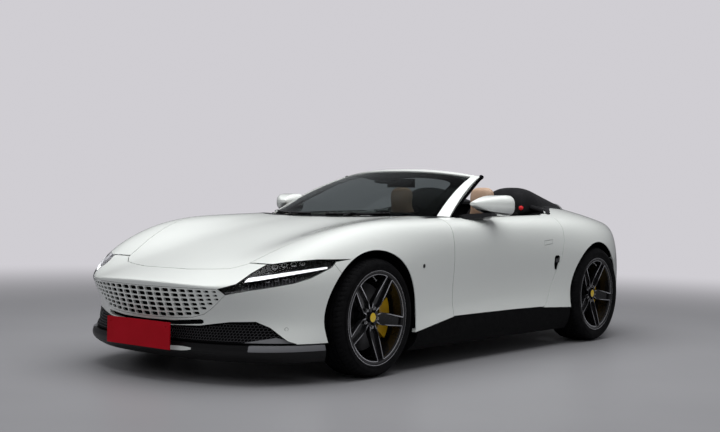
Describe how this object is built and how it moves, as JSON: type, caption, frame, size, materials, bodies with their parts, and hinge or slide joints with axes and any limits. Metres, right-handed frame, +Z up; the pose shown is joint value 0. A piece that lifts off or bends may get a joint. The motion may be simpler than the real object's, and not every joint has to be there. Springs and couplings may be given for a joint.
{
  "type": "open-top grand tourer",
  "caption": "Open two-door front-engined car with a long bonnet, perforated nose panel, rear buttresses, opening doors, bonnet and boot, steering and rolling wheels.",
  "frame": {"origin": "on the floor under the middle of the car", "axes": "+X to the car's left, -Y forwards, +Z up"},
  "size_m": [2.065, 4.6579, 1.252],
  "materials": {
    "white_paint": "gloss pearl white",
    "black_trim": "satin black",
    "structure": "matt black primer",
    "mesh_black": "matt black",
    "lamp_clear": "clear lamp cover",
    "lamp_black": "black trays with clear light guides",
    "lamp_red": "red lamp cover",
    "glass": "laminated",
    "tyre": "matt",
    "rim": "dark gloss with machined edges",
    "disc": "machined",
    "caliper": "gloss yellow",
    "alloy": "cast",
    "steel_black": "satin",
    "leather_tan": "grained",
    "leather_black": "grained",
    "soft_black": "soft moulded",
    "mirror_head": "gloss with black foot",
    "steel_bright": "polished",
    "plate": "satin, blank"
  },
  "bodies": {
    "root": {"cabin_tub": "structure", "calipers_rear": "caliper", "centre_console": "soft_black", "cowl": "black_trim", "dashboard": "soft_black", "engine": "alloy", "exhaust_tips": "steel_bright", "fairings": "leather_black", "front_bumper": "white_paint", "front_plate": "plate", "front_seat_left": "leather_tan", "front_seat_right": "leather_tan", "front_splitter": "black_trim", "front_structure": "structure", "grille": "white_paint", "headlamp_covers": "lamp_clear", "headlamps": "lamp_black", "intake": "mesh_black", "interior_mirror": "black_trim", "knuckles_rear": "alloy", "rear_bumper": "white_paint", "rear_diffuser": "black_trim", "rear_quarter_left": "white_paint", "rear_quarter_right": "white_paint", "rear_seats": "leather_black", "rear_structure": "structure", "side_skirts": "black_trim", "suspension": "steel_black", "tail_lamps": "lamp_red", "tonneau_cover": "leather_black", "windscreen": "glass", "windscreen_frame": "white_paint", "wing_left": "white_paint", "wing_right": "white_paint"},
    "wheel_front_left": {"tyre_front_left": "tyre", "rim_front_left": "rim", "disc_front_left": "disc"},
    "wheel_front_right": {"tyre_front_right": "tyre", "rim_front_right": "rim", "disc_front_right": "disc"},
    "wheel_rear_left": {"tyre_rear_left": "tyre", "rim_rear_left": "rim", "disc_rear_left": "disc"},
    "wheel_rear_right": {"tyre_rear_right": "tyre", "rim_rear_right": "rim", "disc_rear_right": "disc"},
    "hub_front_left": {"knuckle_front_left": "alloy", "caliper_front_left": "caliper"},
    "hub_front_right": {"knuckle_front_right": "alloy", "caliper_front_right": "caliper"},
    "door_left": {"door_left": "white_paint", "mirror_left": "mirror_head"},
    "door_right": {"door_right": "white_paint", "mirror_right": "mirror_head"},
    "bonnet": {"bonnet": "white_paint"},
    "boot_lid": {"boot_lid": "white_paint"},
    "steering_wheel": {"steering_wheel": "leather_black"}
  },
  "joints": [
    {"name": "steer_left", "type": "hinge", "parent": "root", "child": "hub_front_left", "pos_m": [0.751, -1.373, 0.34], "axis": [0, 0, 1], "range_deg": [-30, 30]},
    {"name": "steer_right", "type": "hinge", "parent": "root", "child": "hub_front_right", "pos_m": [-0.751, -1.373, 0.34], "axis": [0, 0, 1], "range_deg": [-30, 30]},
    {"name": "steering_wheel_turn", "type": "hinge", "parent": "root", "child": "steering_wheel", "pos_m": [0.37, -0.15, 0.77], "axis": [0, 0.9135, 0.4067], "range_deg": [-390, 390]},
    {"name": "spin_front_left", "type": "hinge", "parent": "hub_front_left", "child": "wheel_front_left", "pos_m": [0.826, -1.373, 0.34], "axis": [1, 0, 0], "continuous": true},
    {"name": "spin_front_right", "type": "hinge", "parent": "hub_front_right", "child": "wheel_front_right", "pos_m": [-0.826, -1.373, 0.34], "axis": [1, 0, 0], "continuous": true},
    {"name": "spin_rear_left", "type": "hinge", "parent": "root", "child": "wheel_rear_left", "pos_m": [0.8395, 1.297, 0.354], "axis": [1, 0, 0], "continuous": true},
    {"name": "spin_rear_right", "type": "hinge", "parent": "root", "child": "wheel_rear_right", "pos_m": [-0.8395, 1.297, 0.354], "axis": [1, 0, 0], "continuous": true},
    {"name": "door_left_hinge", "type": "hinge", "parent": "root", "child": "door_left", "pos_m": [0.932, -0.585, 0.62], "axis": [0, 0, -1], "range_deg": [0, 65]},
    {"name": "door_right_hinge", "type": "hinge", "parent": "root", "child": "door_right", "pos_m": [-0.932, -0.585, 0.62], "axis": [0, 0, 1], "range_deg": [0, 65]},
    {"name": "bonnet_hinge", "type": "hinge", "parent": "root", "child": "bonnet", "pos_m": [0, -0.638, 0.916], "axis": [-1, 0, 0], "range_deg": [0, 50]},
    {"name": "boot_lid_hinge", "type": "hinge", "parent": "root", "child": "boot_lid", "pos_m": [0, 1.764, 0.992], "axis": [1, 0, 0], "range_deg": [0, 65]}
  ],
  "couplings": [
    {"joint": "steer_right", "follows": "steer_left", "ratio": 1},
    {"joint": "steering_wheel_turn", "follows": "steer_left", "ratio": 13}
  ]
}
